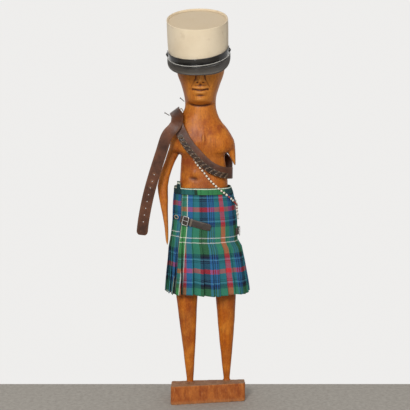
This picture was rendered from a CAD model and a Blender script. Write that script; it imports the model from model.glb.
import math

import bmesh
import bpy
import numpy as np
from mathutils import Matrix, Vector, noise
from mathutils.bvhtree import BVHTree


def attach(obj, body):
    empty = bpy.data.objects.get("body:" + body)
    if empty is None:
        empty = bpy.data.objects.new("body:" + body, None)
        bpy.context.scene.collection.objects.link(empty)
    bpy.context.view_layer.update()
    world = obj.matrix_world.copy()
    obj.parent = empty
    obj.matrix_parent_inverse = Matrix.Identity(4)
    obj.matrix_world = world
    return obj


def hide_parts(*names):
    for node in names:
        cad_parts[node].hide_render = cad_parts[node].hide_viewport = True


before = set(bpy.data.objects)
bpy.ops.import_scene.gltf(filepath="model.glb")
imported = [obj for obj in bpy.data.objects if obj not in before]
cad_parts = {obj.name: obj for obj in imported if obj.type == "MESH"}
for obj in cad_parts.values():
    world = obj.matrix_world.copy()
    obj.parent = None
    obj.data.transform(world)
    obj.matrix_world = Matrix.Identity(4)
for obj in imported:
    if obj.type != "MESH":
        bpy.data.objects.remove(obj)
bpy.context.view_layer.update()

# Sizes are in metres. Routes along the figure and the kilt's outline are laid out in UNITs.
UNIT = 0.001
CLEAR = 0.0004

# Meshes


def link(name, mesh, materials):
    made = bpy.data.objects.new(name, mesh)
    bpy.context.scene.collection.objects.link(made)
    for material in materials:
        mesh.materials.append(material)
    return made


def mesh_piece(name, points, faces, materials, sharp=40.0, slots=None, uvs=None):
    """A piece of these points and faces. uvs has a pair for each point, slots a material for each face."""
    mesh = bpy.data.meshes.new(name)
    mesh.from_pydata([tuple(point) for point in points], [], faces)
    if slots is not None:
        mesh.polygons.foreach_set("material_index", slots)
    if uvs is not None:
        layer = mesh.uv_layers.new(name="flat")
        corners = np.empty(len(mesh.loops), dtype=np.int32)
        mesh.loops.foreach_get("vertex_index", corners)
        layer.data.foreach_set("uv", np.asarray(uvs, dtype=np.float32)[corners].ravel())
    mesh.shade_smooth()
    if sharp:
        mesh.set_sharp_from_angle(angle=math.radians(sharp))
    return link(name, mesh, materials)


def grid_faces(rows, columns, along=False):
    """Four-cornered faces over rows of points that close on themselves, and along the rows where asked."""
    faces = []
    for row in range(rows if along else rows - 1):
        following = (row + 1) % rows
        for column in range(columns):
            beside = (column + 1) % columns
            faces.append(
                (
                    row * columns + column,
                    row * columns + beside,
                    following * columns + beside,
                    following * columns + column,
                )
            )
    return faces


def face_out(piece):
    bm = bmesh.new()
    bm.from_mesh(piece.data)
    bmesh.ops.recalc_face_normals(bm, faces=bm.faces)
    bm.to_mesh(piece.data)
    bm.free()
    return piece


def loft(name, rings, materials, closed=False, sharp=40.0, capped=True):
    """A solid through rings of equally many points, capped unless it closes on itself."""
    columns = len(rings[0])
    points = [point for ring in rings for point in ring]
    faces = grid_faces(len(rings), columns, closed)
    if capped and not closed:
        faces.append(tuple(range(columns)))
        faces.append(tuple(range((len(rings) - 1) * columns, len(rings) * columns)))
    return face_out(mesh_piece(name, points, faces, materials, sharp))


def bake_modifiers(piece):
    """Applies the piece's modifiers."""
    graph = bpy.context.evaluated_depsgraph_get()
    bpy.context.view_layer.update()
    finished = bpy.data.meshes.new_from_object(piece.evaluated_get(graph), depsgraph=graph)
    old = piece.data
    piece.modifiers.clear()
    piece.data = finished
    bpy.data.meshes.remove(old)
    finished.name = piece.name
    return piece


def joined(name, pieces):
    """These pieces as one, with all their materials."""
    bm = bmesh.new()
    materials = []
    for piece in pieces:
        shift = []
        for material in piece.data.materials:
            if material not in materials:
                materials.append(material)
            shift.append(materials.index(material))
        piece.data.transform(piece.matrix_world)
        before = len(bm.faces)
        bm.from_mesh(piece.data)
        bm.faces.ensure_lookup_table()
        for face in bm.faces[before:]:
            face.material_index = shift[face.material_index]
    mesh = bpy.data.meshes.new(name)
    bm.to_mesh(mesh)
    bm.free()
    for piece in pieces:
        old = piece.data
        bpy.data.objects.remove(piece)
        bpy.data.meshes.remove(old)
    return link(name, mesh, materials)


def vertex_array(mesh):
    flat = np.empty(len(mesh.vertices) * 3)
    mesh.vertices.foreach_get("co", flat)
    return flat.reshape(-1, 3)


def normal_array(mesh):
    flat = np.empty(len(mesh.vertices) * 3)
    mesh.vertex_normals.foreach_get("vector", flat)
    return flat.reshape(-1, 3)


def surface_of(*pieces):
    points, faces = [], []
    for piece in pieces:
        first = len(points)
        points.extend(piece.matrix_world @ vertex.co for vertex in piece.data.vertices)
        faces.extend([first + index for index in face.vertices] for face in piece.data.polygons)
    return BVHTree.FromPolygons(points, faces)


def finish_piece(piece, slot, *nodes):
    """The piece rides on the one body, stands for these CAD nodes and takes that slot's finish."""
    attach(piece, "root")
    if nodes:
        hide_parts(*nodes)
    return piece


def smooth_step(value, low, high):
    t = np.clip((value - low) / (high - low), 0, 1)
    return t * t * (3 - 2 * t)


def bump(value, centre, width):
    return np.exp(-(((value - centre) / width) ** 2))


def wave_noise(points, size, seed):
    """Smooth noise from -1 to 1 over an array of points, with lumps of about this size."""
    shift = Vector((seed * 7.3, seed * 3.1, seed * 5.7))
    return np.array([noise.noise(Vector(point) / size + shift) for point in points])


# Materials


class Shader:
    """A material that is put together node by node."""

    def __init__(self, name, roughness=0.5, **uniform):
        self.material = bpy.data.materials.new(name)
        self.material.use_nodes = True
        self.tree = self.material.node_tree
        self.principled = self.tree.nodes["Principled BSDF"]
        self.principled.inputs["Roughness"].default_value = roughness
        for key, value in uniform.items():
            self.principled.inputs[key.replace("_", " ")].default_value = value

    def node(self, kind, settings=None, **inputs):
        made = self.tree.nodes.new(kind)
        for key, value in (settings or {}).items():
            setattr(made, key, value)
        for key, value in inputs.items():
            self.put(made.inputs[key.replace("_", " ")], value)
        return made

    def put(self, socket, value):
        if isinstance(value, bpy.types.NodeSocket):
            self.tree.links.new(value, socket)
        else:
            socket.default_value = value

    def place(self, scale=(1, 1, 1), turn=(0, 0, 0)):
        """The point being shaded, in metres, stretched by scale and turned."""
        source = self.node("ShaderNodeTexCoord").outputs["Object"]
        return self.node("ShaderNodeMapping", Vector=source, Scale=scale, Rotation=turn).outputs[0]

    def noise(self, vector, scale, detail=4.0, roughness=0.55, distortion=0.0):
        return self.node(
            "ShaderNodeTexNoise",
            Vector=vector,
            Scale=scale,
            Detail=detail,
            Roughness=roughness,
            Distortion=distortion,
        ).outputs["Fac"]

    def cells(self, vector, scale):
        made = self.node("ShaderNodeTexVoronoi", {"feature": "F1"}, Vector=vector, Scale=scale)
        return made.outputs["Distance"]

    def spread(self, value, low, high, to_low=0.0, to_high=1.0):
        """Value taken from low..high to to_low..to_high."""
        made = self.node("ShaderNodeMapRange")
        for index, part in enumerate((value, low, high, to_low, to_high)):
            self.put(made.inputs[index], part)
        return made.outputs[0]

    def sum_of(self, operation, *values):
        made = self.node("ShaderNodeMath", {"operation": operation})
        for index, value in enumerate(values):
            self.put(made.inputs[index], value)
        return made.outputs[0]

    def blend(self, share, first, second):
        made = self.node("ShaderNodeMix", {"data_type": "RGBA", "blend_type": "MIX"})
        self.put(made.inputs[0], share)
        for index, value in ((6, first), (7, second)):
            self.put(made.inputs[index], (*value, 1) if isinstance(value, tuple) else value)
        return made.outputs[2]

    def bumps(self, *layers):
        """Bump from pairs of a height and how far it stands, in metres."""
        normal = None
        for height, distance in layers:
            made = self.node("ShaderNodeBump", Height=height, Distance=distance)
            if normal is not None:
                self.put(made.inputs["Normal"], normal)
            normal = made.outputs[0]
        self.put(self.principled.inputs["Normal"], normal)

    def done(self, colour, roughness=None):
        self.put(self.principled.inputs["Base Color"], colour)
        if roughness is not None:
            self.put(self.principled.inputs["Roughness"], roughness)
        return self.material


# Dark red stains on the chest and belly: across, up and radius
STAINS = ((0.003, 0.735, 0.017), (-0.034, 0.729, 0.015), (0.030, 0.748, 0.014), (-0.052, 0.662, 0.016))


def wood_material():
    """Old stained wood: grain that runs up the log, worn lighter on the ridges, darker in the hollows."""
    m = Shader("carved wood", Specular_IOR_Level=0.28)
    wander = m.noise(m.place((6, 6, 1.2)), 1.0, 3.0)
    place = m.place()
    grain_place = m.node("ShaderNodeMapping", Vector=place, Scale=(260, 260, 9)).outputs[0]
    fine = m.noise(grain_place, 1.0, 5.0, 0.6, 0.6)
    broad_place = m.node("ShaderNodeMapping", Vector=place, Scale=(46, 46, 3.2)).outputs[0]
    broad = m.noise(broad_place, 1.0, 4.0, 0.5, 1.2)
    mottle = m.noise(place, 28.0, 5.0, 0.6, 0.4)
    patches = m.noise(place, 9.0, 2.0)
    height = m.node("ShaderNodeSeparateXYZ", Vector=place).outputs[2]
    low_down = m.spread(height, 0.62, 0.30)
    high_up = m.spread(height, 0.76, 0.84)
    torso = m.blend(m.spread(broad, 0.32, 0.68), (0.40, 0.092, 0.009), (0.62, 0.185, 0.018))
    legs = m.blend(m.spread(broad, 0.32, 0.68), (0.34, 0.066, 0.003), (0.57, 0.145, 0.006))
    head = m.blend(m.spread(broad, 0.30, 0.70), (0.49, 0.150, 0.018), (0.70, 0.26, 0.036))
    colour = m.blend(low_down, torso, legs)
    colour = m.blend(high_up, colour, head)
    colour = m.blend(m.spread(mottle, 0.46, 0.66, 0.0, 0.75), colour, (0.70, 0.235, 0.022))
    colour = m.blend(m.spread(patches, 0.50, 0.68, 0.0, 0.6), colour, (0.27, 0.065, 0.014))
    colour = m.blend(m.spread(fine, 0.52, 0.70, 0.0, 0.45), colour, (0.20, 0.055, 0.014))
    for x, z, size in STAINS:
        spot = m.node("ShaderNodeVectorMath", {"operation": "DISTANCE"})
        m.put(spot.inputs[0], m.node("ShaderNodeMapping", Vector=place, Scale=(1, 0, 1)).outputs[0])
        spot.inputs[1].default_value = (x, 0, z)
        near = m.sum_of("ADD", spot.outputs["Value"], m.spread(mottle, 0.3, 0.7, -0.008, 0.008))
        colour = m.blend(m.spread(near, size, size * 0.25, 0.0, 0.6), colour, (0.24, 0.040, 0.010))
    speckle = m.noise(m.place((1, 1, 0.5)), 330.0, 4.0, 0.7)
    colour = m.blend(m.spread(speckle, 0.52, 0.70, 0.0, 0.42), colour, (0.17, 0.036, 0.006))
    colour = m.blend(m.spread(speckle, 0.46, 0.30, 0.0, 0.30), colour, (0.80, 0.30, 0.040))
    hollow = m.node("ShaderNodeAttribute", {"attribute_name": "hollow"}).outputs["Fac"]
    colour = m.blend(m.spread(hollow, 0.10, 0.9, 0.0, 0.85), colour, (0.075, 0.016, 0.005))
    pointed = m.node("ShaderNodeNewGeometry").outputs["Pointiness"]
    colour = m.blend(m.spread(pointed, 0.498, 0.474, 0.0, 0.85), colour, (0.075, 0.016, 0.004))
    colour = m.blend(m.spread(pointed, 0.512, 0.545, 0.0, 0.5), colour, (0.72, 0.32, 0.08))
    block = m.spread(height, 0.056, 0.050)
    facing = m.node("ShaderNodeNewGeometry").outputs["True Normal"]
    upward = m.node("ShaderNodeSeparateXYZ", Vector=facing).outputs[2]
    flat_top = m.sum_of("MULTIPLY", m.spread(upward, 0.45, 0.8), block)
    chops = m.noise(m.place((70, 70, 34)), 1.0, 6.0, 0.72)
    front = m.blend(m.spread(chops, 0.36, 0.64), (0.27, 0.055, 0.012), (0.54, 0.165, 0.033))
    scratch = m.noise(m.place((420, 420, 40), (0, 0.35, 0)), 1.0, 3.0, 0.6)
    front = m.blend(m.spread(scratch, 0.60, 0.70, 0.0, 0.55), front, (0.66, 0.30, 0.11))
    front = m.blend(m.spread(speckle, 0.54, 0.70, 0.0, 0.5), front, (0.13, 0.030, 0.010))
    front = m.blend(m.spread(height, 0.012, 0.001, 0.0, 0.65), front, (0.50, 0.24, 0.10))
    colour = m.blend(m.sum_of("MULTIPLY", block, 0.85), colour, front)
    dust = m.blend(m.spread(chops, 0.35, 0.65), (0.20, 0.105, 0.050), (0.36, 0.23, 0.13))
    colour = m.blend(m.sum_of("MULTIPLY", flat_top, 0.85), colour, dust)
    rough = m.spread(mottle, 0.3, 0.7, 0.36, 0.56)
    rough = m.sum_of("ADD", rough, m.sum_of("MULTIPLY", block, 0.22))
    m.bumps((fine, 0.00022), (mottle, 0.0010), (wander, 0.0016), (chops, m.sum_of("MULTIPLY", block, 0.0012)))
    return m.done(colour, rough)


# The carved figure

VOXEL = 0.0024
FACE_CHIN = 0.812
FACE_TOP = 1.022
FACE_MIDDLE = -0.021
FACE_HALF = 0.0595
SMOOTHING_ROUNDS = 26
SMOOTHING_IN = 0.55
SMOOTHING_OUT = -0.57
ARMPIT_ROUNDS = 60
ARMPIT_AMOUNT = 0.5


def make_figure(wood):
    """The log: the frame's solid with its facets planed off and the finer carving cut into it."""
    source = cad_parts["figure"]
    piece = link("carved_figure", source.data.copy(), [])
    piece.data.materials.clear()
    piece.data.materials.append(wood)
    remesh = piece.modifiers.new("fine", "REMESH")
    remesh.mode = "VOXEL"
    remesh.voxel_size = VOXEL
    bake_modifiers(piece)
    mesh = piece.data
    edges = np.empty(len(mesh.edges) * 2, dtype=np.int64)
    mesh.edges.foreach_get("vertices", edges)
    edges = edges.reshape(-1, 2)
    points = vertex_array(mesh)
    count = np.bincount(edges.ravel(), minlength=len(points))[:, None]
    keep = smooth_step(points[:, 2], 0.046, 0.056)[:, None]

    def relaxed(values, amount):
        total = np.zeros_like(values)
        np.add.at(total, edges[:, 0], values[edges[:, 1]])
        np.add.at(total, edges[:, 1], values[edges[:, 0]])
        return values + amount * keep * (total / count - values)

    for _ in range(SMOOTHING_ROUNDS):
        points = relaxed(relaxed(points, SMOOTHING_IN), SMOOTHING_OUT)
    armpits = bump(points[:, 2], 0.682, 0.016) * smooth_step(-points[:, 1], 0.012, 0.030)
    armpits *= smooth_step(np.abs(points[:, 0] + 0.010), 0.045, 0.062)
    keep = armpits[:, None]
    for _ in range(ARMPIT_ROUNDS):
        points = relaxed(points, ARMPIT_AMOUNT)
    mesh.vertices.foreach_set("co", points.ravel())
    mesh.update()
    depth, hollows = carving(points, normal_array(mesh))
    points = points + normal_array(mesh) * depth[:, None]
    points[:, 2] = np.maximum(points[:, 2], 0)
    mesh.attributes.new("hollow", "FLOAT", "POINT").data.foreach_set("value", hollows)
    mesh.vertices.foreach_set("co", points.ravel())
    mesh.shade_smooth()
    mesh.update()
    return finish_piece(piece, "wood", "figure")


def carving(points, normals):
    """How far the finer carving stands out of the surface, in metres, and how dark its hollows are."""
    x, _, z = points.T
    front = smooth_step(-normals[:, 1], 0.05, 0.55)
    tool = wave_noise(points * (1, 1, 0.45), 0.016, 1)
    depth = 0.0005 * tool
    broad = wave_noise(points * (1, 1, 0.4), 0.05, 2)
    depth += 0.0009 * broad
    block = smooth_step(z, 0.054, 0.048)
    hewn = wave_noise(points * (1, 1, 0.25), 0.006, 3)
    depth += block * 0.0006 * hewn
    above = (z - FACE_CHIN) / (FACE_TOP - FACE_CHIN)
    on_face = front * smooth_step(above, -0.06, 0.0)
    across = (x - FACE_MIDDLE) / FACE_HALF
    face = np.zeros(len(points))
    for side in (-1, 1):
        eye = np.hypot((across - side * 0.42) / 0.20, (above - 0.50) / 0.034)
        face += 0.0032 * bump(eye, 0, 0.75)
        face -= 0.0016 * bump(eye, 1.05, 0.16)
        nostril = np.hypot((across - side * 0.15) / 0.055, (above - 0.268) / 0.010)
        face -= 0.0034 * bump(nostril, 0, 1.0)
        beside = np.abs(across) - 0.13 - 0.10 * np.clip((0.50 - above) / 0.2, 0, 1)
        face -= 0.0016 * bump(beside, 0, 0.035) * smooth_step(above, 0.25, 0.29) / 2
        wing = np.hypot((across - side * 0.19) / 0.06, (above - 0.285) / 0.022)
        face += 0.0030 * bump(wing, 0, 1.0)
        corner = np.hypot((across - side * 0.36) / 0.05, (above - 0.178) / 0.014)
        face -= 0.0012 * bump(corner, 0, 1.0)
    mouth = smooth_step(0.40 - np.abs(across), 0.0, 0.08)
    bow = 0.178 - 0.006 * np.cos(across * 9)
    face -= 0.0030 * mouth * bump(above, bow, 0.0090)
    dip = 1 - 0.35 * bump(across, 0, 0.06)
    arch = np.sqrt(np.maximum(1 - (across / 0.40) ** 2, 0))
    face += 0.0020 * mouth * dip * bump(above, 0.205, 0.016) * arch
    face += 0.0026 * bump(across, 0, 0.26) * bump(above, 0.146, 0.018)
    face -= 0.0013 * bump(across, 0, 0.22) * bump(above, 0.108, 0.020)
    face += 0.0028 * bump(across, 0, 0.30) * bump(above, 0.055, 0.030)
    face -= 0.0014 * bump(across, 0, 0.055) * bump(above, 0.238, 0.018)
    for side in (-1, 1):
        share = np.clip((0.310 - above) / 0.14, 0, 1)
        crease = (across - side * (0.24 + 0.24 * share)) / 0.045
        crease = bump(crease, 0, 1.4)
        face -= 0.0007 * crease * smooth_step(0.325 - above, 0, 0.03) * smooth_step(above, 0.15, 0.19)
        cheek = np.hypot((across - side * 0.56) / 0.22, (above - 0.335) / 0.07)
        face += 0.0016 * bump(cheek, 0, 1.0)
    depth += on_face * face
    jaw = -0.030 + 0.09 * across**2
    under_chin = front * bump(above, jaw, 0.015) * smooth_step(0.62 - np.abs(across), 0, 0.35)
    depth -= 0.0026 * under_chin
    hollows = np.clip(on_face * -face / 0.0026, 0, 1) + 0.8 * under_chin
    ridge = np.hypot((x + 0.0130) / 0.0026, (z - 0.722) / 0.0105)
    depth += front * 0.0030 * bump(ridge, 0, 1.0)
    lump = np.hypot((x + 0.0385) / 0.0075, (z - 0.630) / 0.0070)
    depth += front * 0.0022 * bump(lump, 0, 1.0)
    edge = wave_noise(points, 0.009, 5)
    hollow = np.hypot((x + 0.0385) / (0.0150 + 0.003 * edge), (z - 0.6150) / (0.0068 + 0.0015 * edge))
    depth -= front * 0.0032 * bump(hollow, 0, 0.9)
    hollows = hollows + 0.6 * front * bump(hollow, 0, 0.9)
    return depth, np.clip(hollows, 0, 1)


# Stage, camera and lights

CAMERA_PLACE = (-0.0088, -3.2, 1.0)
CAMERA_DOWN = math.radians(8.22)
SENSOR = 36.0
IMAGE_PIXELS = 410
FOCAL_PIXELS = 1204


def make_camera():
    data = bpy.data.cameras.new("camera")
    data.sensor_width = SENSOR
    data.lens = SENSOR * FOCAL_PIXELS / IMAGE_PIXELS
    data.clip_end = 50
    camera = bpy.data.objects.new("camera", data)
    camera.location = CAMERA_PLACE
    camera.rotation_euler = (math.pi / 2 - CAMERA_DOWN, 0, 0)
    bpy.context.scene.collection.objects.link(camera)
    bpy.context.scene.camera = camera


FLOOR_BACK = 0.138


def make_stage():
    """A plain pale floor that ends a little behind the block. The pale world stands behind it."""
    m = Shader("pale floor", roughness=0.85)
    tone = m.noise(m.place(), 90.0, 5.0, 0.7)
    m.bumps((m.noise(m.place(), 240.0, 3.0), 0.0004))
    pale = m.done(m.blend(m.spread(tone, 0.3, 0.7), (0.30, 0.275, 0.24), (0.44, 0.41, 0.365)))
    size = 6
    corners = [(-size, -size, 0), (size, -size, 0), (size, FLOOR_BACK, 0), (-size, FLOOR_BACK, 0)]
    mesh_piece("floor", corners, [(0, 1, 2, 3)], [pale], sharp=None)


LIGHTS = (
    ("key", (-0.9, -3.4, 2.2), 1.0, 88),
    ("fill", (1.6, -3.0, 1.2), 1.6, 13),
    ("top", (0.0, 0.2, 3.4), 2.0, 22),
)
WORLD_STRENGTH = 0.34
WALL_STRENGTH = 0.86


def make_lights():
    scene = bpy.context.scene
    scene.view_settings.view_transform = "Standard"
    world = bpy.data.worlds.new("pale room")
    world.use_nodes = True
    background = world.node_tree.nodes["Background"]
    background.inputs["Color"].default_value = (1.0, 0.99, 0.975, 1)
    tree = world.node_tree
    way = tree.nodes.new("ShaderNodeTexCoord").outputs["Generated"]
    parts = tree.nodes.new("ShaderNodeSeparateXYZ")
    tree.links.new(way, parts.inputs[0])
    wall = tree.nodes.new("ShaderNodeMapRange")
    wall.interpolation_type = "SMOOTHSTEP"
    for index, value in ((1, 0.70), (2, 0.93), (3, WORLD_STRENGTH), (4, WALL_STRENGTH)):
        wall.inputs[index].default_value = value
    tree.links.new(parts.outputs[1], wall.inputs[0])
    tree.links.new(wall.outputs[0], background.inputs["Strength"])
    scene.world = world
    aim = Vector((0, 0, 0.55))
    for name, place, size, power in LIGHTS:
        data = bpy.data.lights.new(name, "AREA")
        data.shape = "DISK"
        data.size = size
        data.energy = power
        lamp = bpy.data.objects.new(name, data)
        lamp.location = place
        lamp.rotation_euler = (aim - Vector(place)).to_track_quat("-Z", "Y").to_euler()
        scene.collection.objects.link(lamp)


# The kepi, in the tilted frame that its oval sits in

HEAD_X = -0.021
HEAD_HALF = 0.069
HEAD_FRONT = 0.075
HEAD_BACK = 0.084
HEAD_Y = 0.001
KEPI_SIDE_EASE = 0.0070
KEPI_DEPTH_EASE = 0.010
KEPI_WALL = 0.0030
KEPI_HEIGHT = 0.0945
KEPI_FLARE = 0.0020
KEPI_SUNK = 0.0060
KEPI_TILT = math.radians(17)
KEPI_TOP_ROLL = math.radians(1.5)
KEPI_BAND_ROLL = math.radians(4.6)
KEPI_LEAN = 0.0043
KEPI_SHIFT = 0.0062
KEPI_FULLNESS = 2.08
KEPI_BULGE = 0.0006
KEPI_COLUMNS = 144
RIM_RADIUS = 0.0011
VISOR_SEAT = 0.0020
VISOR_REACH = 0.049
VISOR_THICKNESS = 0.0028
VISOR_DROOP = math.radians(4)
VISOR_SPAN = math.radians(93)
VISOR_SQUARENESS = 2.7
VISOR_TAPER = 0.35
VISOR_HEM = 0.0025
VISOR_LIP_DROP = 0.0015
VISOR_LEAST = 0.002
VISOR_TWIST = 0.07
VISOR_BAND = 0.0120
# The chin strap here is twice as wide as the frame's own
CHIN_STRAP_SPAN = math.radians(84)
CHIN_STRAP_WIDTH = 0.019
CHIN_STRAP_THICKNESS = 0.0022
CHIN_STRAP_END_RISE = 0.0020
STUD_RADIUS = 0.00625


def oval(half_width, half_depth, angle, fullness):
    """A point of an oval. Angle 0 is its front, at -Y, and it turns to +X."""
    s, c = math.sin(angle), math.cos(angle)
    x = half_width * math.copysign(abs(s) ** (2 / fullness), s)
    y = -half_depth * math.copysign(abs(c) ** (2 / fullness), c)
    return Vector((x, y, 0))


def kepi_frame(share, along=0.0):
    middle = HEAD_Y + (HEAD_BACK - HEAD_FRONT) / 2
    rim = FACE_TOP + (KEPI_SUNK + KEPI_WALL + CLEAR) / math.cos(KEPI_TILT)
    roll = KEPI_BAND_ROLL + (KEPI_TOP_ROLL - KEPI_BAND_ROLL) * share
    shift = KEPI_SHIFT + KEPI_LEAN * (share - 0.5)
    centre = Vector((HEAD_X - shift, middle, rim - KEPI_HEIGHT * (1 - share)))
    turn = Matrix.Rotation(KEPI_TILT, 3, "X") @ Matrix.Rotation(-roll, 3, "Y")
    return Matrix.Translation(centre + turn @ Vector((0, 0, along))) @ turn.to_4x4()


def kepi_inside():
    depth = ((HEAD_FRONT + HEAD_BACK) / 2 + KEPI_DEPTH_EASE) / math.cos(KEPI_TILT)
    return HEAD_HALF + KEPI_SIDE_EASE, depth


def kepi_point(share, angle, out, along=0.0):
    """Out from the kepi's inner wall, and along its axis from the oval at this share of its height."""
    width, depth = (size + KEPI_FLARE * share + out for size in kepi_inside())
    return kepi_frame(share, along) @ oval(width, depth, angle, KEPI_FULLNESS)


def turns_of(count):
    return [2 * math.pi * i / count for i in range(count)]


def tube(name, path, radius, materials, sides=8, closed=False, flat=1.0, ups=None):
    """A round or flattened bar along a path. Its section is flattened along the up ways."""
    rings = []
    count = len(path)
    for i, place in enumerate(path):
        before = path[i - 1] if closed or i else path[0]
        after = path[(i + 1) % count] if closed or i < count - 1 else path[-1]
        along = (after - before).normalized()
        up = ups[i] if ups else Vector((0, 0, 1))
        across = along.cross(up).normalized()
        up = across.cross(along)
        size = radius[i] if hasattr(radius, "__len__") else radius
        ring = []
        for turn in turns_of(sides):
            ring.append(place + across * (math.cos(turn) * size) + up * (math.sin(turn) * size * flat))
        rings.append(ring)
    return loft(name, rings, materials, closed=closed, sharp=None)


def make_kepi_crown(cloth, piping):
    """The cloth shell: side wall with its joins, the rolled rim, the sunk top panel and the lining."""
    turns = turns_of(KEPI_COLUMNS)
    edge = KEPI_WALL
    profile = [(1, 0.0002, -KEPI_SUNK), (1, 0.0, -KEPI_SUNK + 0.0008)]
    for step in range(7):
        turn = math.pi * step / 6
        out = edge / 2 - math.cos(turn) * edge / 2
        profile.append((1, out, -RIM_RADIUS + math.sin(turn) * RIM_RADIUS))
    for step in range(1, 34):
        share = 1 - step / 34
        sag = KEPI_BULGE * math.sin(math.pi * share)
        seam = 0.0004 if 0.930 < share < 0.957 else 0
        profile.append((share, edge + sag - seam, 0))
    profile += [(0, edge, 0), (0, edge * 0.6, -0.0006), (0, 0, 0)]
    profile += [(0.10, -0.0008, 0), (0.13, 0, 0), (0.80, 0, 0)]
    rings = []
    for share, out, along in profile:
        ring = []
        for turn in turns:
            wave = 0.00045 * math.sin(turn * 3 + share * 2) + 0.0003 * math.sin(turn * 7 + 1.3 - share * 4)
            away = out + (wave if out > edge * 0.9 and 0 < share < 0.99 else 0)
            if abs(math.remainder(turn - math.pi, 2 * math.pi)) < 0.012 and out > edge * 0.9:
                away -= 0.0005
            ring.append(kepi_point(share, turn, away, along))
        rings.append(ring)
    wall = loft("kepi_wall", rings, [cloth], capped=False, sharp=50)
    rings = []
    width, depth = (size + KEPI_FLARE for size in kepi_inside())
    for step in range(13):
        share = 1 - step / 12.5
        dish = -KEPI_SUNK + 0.0022 * (1 - share**2) - 0.0006 * bump(share, 0.93, 0.04)
        ring = []
        for turn in turns:
            spot = oval((width - 0.0001) * share, (depth - 0.0001) * share, turn, KEPI_FULLNESS)
            swell = 0.0006 * math.sin(turn * 2 + 0.7) * share * (1 - share) * 4
            ring.append(kepi_frame(1, dish + swell) @ spot)
        rings.append(ring)
    panel = loft("kepi_top", rings, [cloth], capped=False, sharp=None)
    end = len(rings[-1])
    last = len(panel.data.vertices) - end
    bm = bmesh.new()
    bm.from_mesh(panel.data)
    bm.verts.ensure_lookup_table()
    bm.faces.new([bm.verts[last + i] for i in range(end)])
    bmesh.ops.solidify(bm, geom=list(bm.faces), thickness=0.0012)
    bmesh.ops.recalc_face_normals(bm, faces=bm.faces)
    bm.to_mesh(panel.data)
    bm.free()
    thick = wall.modifiers.new("closed", "SOLIDIFY")
    thick.thickness = 0.0006
    bake_modifiers(wall)
    roll = [kepi_point(1, turn, -0.0002, -KEPI_SUNK + 0.0010) for turn in turns]
    seam = tube("kepi_seam", roll, 0.0009, [piping], sides=6, closed=True)
    crown = joined("kepi_cloth_crown", [wall, panel, seam])
    crown.data.shade_smooth()
    crown.data.set_sharp_from_angle(angle=math.radians(50))
    return finish_piece(crown, "kepi_cloth", "kepi_crown")


def visor_edges(angle):
    """Inner and outer edge of the visor, in the kepi's own frame."""
    width, depth = (size + KEPI_WALL for size in kepi_inside())
    inner = oval(width + CLEAR, depth + CLEAR, angle, KEPI_FULLNESS)
    taper = max(math.cos(angle * 0.5 * math.pi / VISOR_SPAN), 0) ** VISOR_TAPER
    front = depth + VISOR_REACH if math.cos(angle) > 0 else depth
    far = oval(width + VISOR_HEM, front, angle, VISOR_SQUARENESS)
    reach = (far - inner).length
    far = inner + (far - inner) * min(1, (VISOR_REACH * taper + VISOR_HEM) / max(reach, VISOR_LEAST))
    if (far - inner).length < VISOR_LEAST:
        far = inner + inner.normalized() * VISOR_LEAST
    return inner, far


def make_visor(leather, binding, gloss):
    """The peak, a little cambered, with a bound edge."""
    stations = 97
    frame0 = kepi_frame(0)
    rings, rim = [], []
    for i in range(stations):
        angle = VISOR_SPAN * (2 * i / (stations - 1) - 1)
        inner, far = visor_edges(angle)
        reach = (far - inner).length
        top, under = [], []
        for step in range(9):
            share = step / 8
            spot = inner.lerp(far, share)
            fall = math.tan(VISOR_DROOP) * reach * share + VISOR_LIP_DROP * share**2
            height = VISOR_SEAT - fall - VISOR_TWIST * spot.x * share * max(math.cos(angle), 0)
            camber = 0.0008 * math.sin(math.pi * share) * min(reach / 0.03, 1)
            top.append(frame0 @ Vector((spot.x, spot.y, height + camber)))
            under.append(frame0 @ Vector((spot.x, spot.y, height + camber - VISOR_THICKNESS)))
        rings.append(top + under[::-1])
        rim.append((top[-1] + under[-1]) / 2)
    plate = loft("visor_plate", rings, [leather], sharp=50)
    band = []
    rise = frame0.to_3x3() @ Vector((0, 0, 0.0011))
    for i, ring in enumerate(rings[4:-4]):
        angle = VISOR_SPAN * (2 * (i + 4) / (stations - 1) - 1)
        inner, far = visor_edges(angle)
        wide = min(VISOR_BAND / max((far - inner).length, VISOR_LEAST), 0.85)
        steps = [ring[0].lerp(ring[4], share * wide * 2) for share in (0.42, 0.56, 0.7, 0.86, 1.0)]
        over = [spot + rise * lift for spot, lift in zip(steps[::-1], (0.2, 0.8, 1.0, 0.8, 0.2))]
        band.append([spot - rise * 0.3 for spot in steps] + over)
    band = loft("visor_band", band, [gloss], sharp=60)
    edge = tube("visor_edge", rim, 0.00195, [binding], sides=10)
    return finish_piece(joined("kepi_leather_visor", [plate, edge, band]), "visor_leather", "kepi_visor")


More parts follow.
